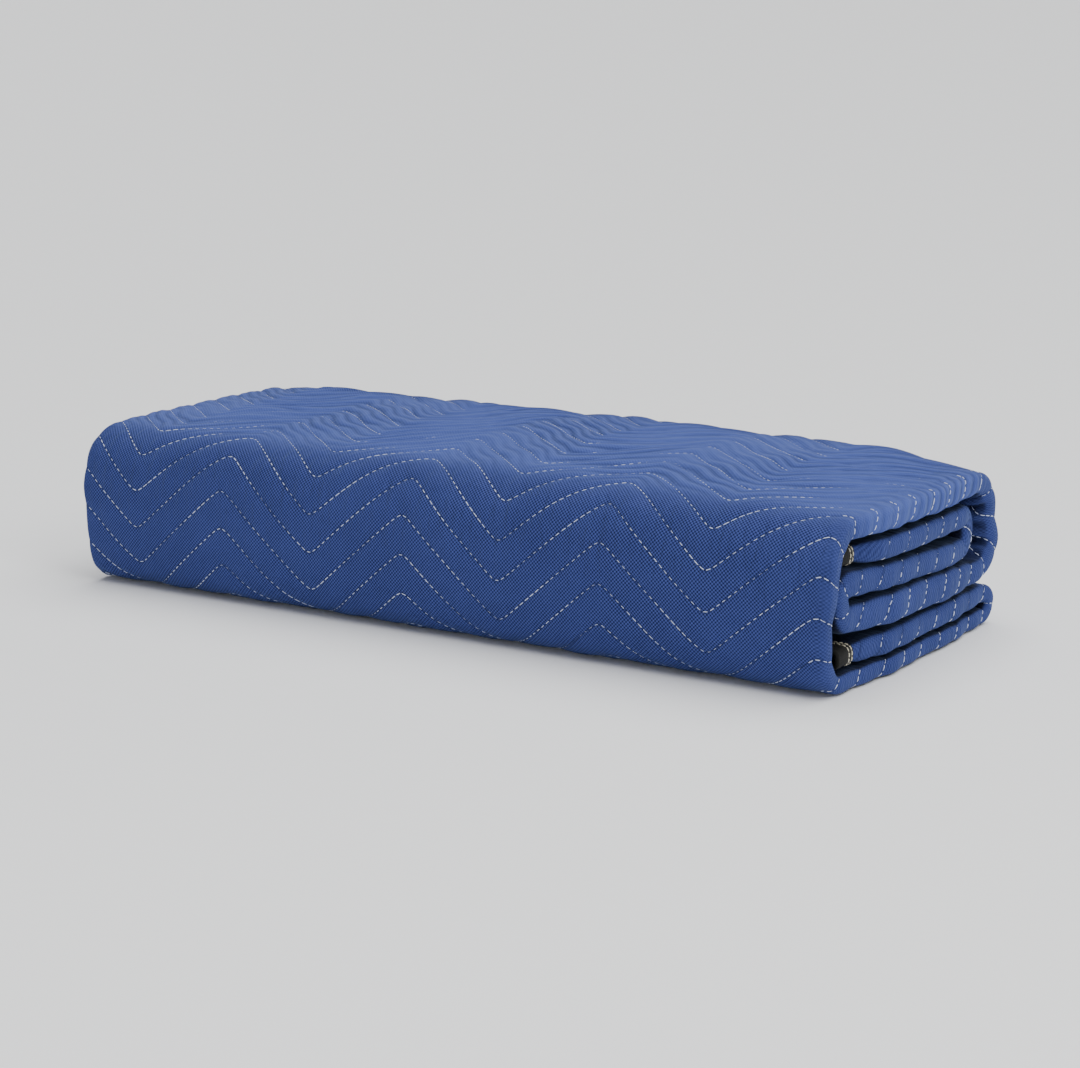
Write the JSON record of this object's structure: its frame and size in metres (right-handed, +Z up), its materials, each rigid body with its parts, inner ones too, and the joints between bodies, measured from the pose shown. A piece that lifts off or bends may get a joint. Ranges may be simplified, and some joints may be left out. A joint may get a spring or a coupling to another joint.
{
  "type": "folded moving blanket",
  "caption": "Quilted furniture moving blanket with zigzag stitching and bound edges, folded flat into a compact rectangular stack of layers.",
  "frame": {"origin": "centre of the underside, at the bottom centre of the bounding box", "axes": "+X along the long side, towards the end with the full rounded folds; -Y out of the smooth folded front; +Z up"},
  "size_m": [0.6768, 0.2826, 0.1298],
  "materials": {
    "quilted_cloth": "matt woven, zigzag quilted",
    "binding_tape": "matt woven tape",
    "thread": "stitched thread"
  },
  "bodies": {
    "root": {"quilted_panel": "quilted_cloth", "binding_front_upper": "binding_tape", "binding_front_lower": "binding_tape", "binding_inner_right": "binding_tape", "binding_inner_left": "binding_tape"}
  },
  "joints": []
}
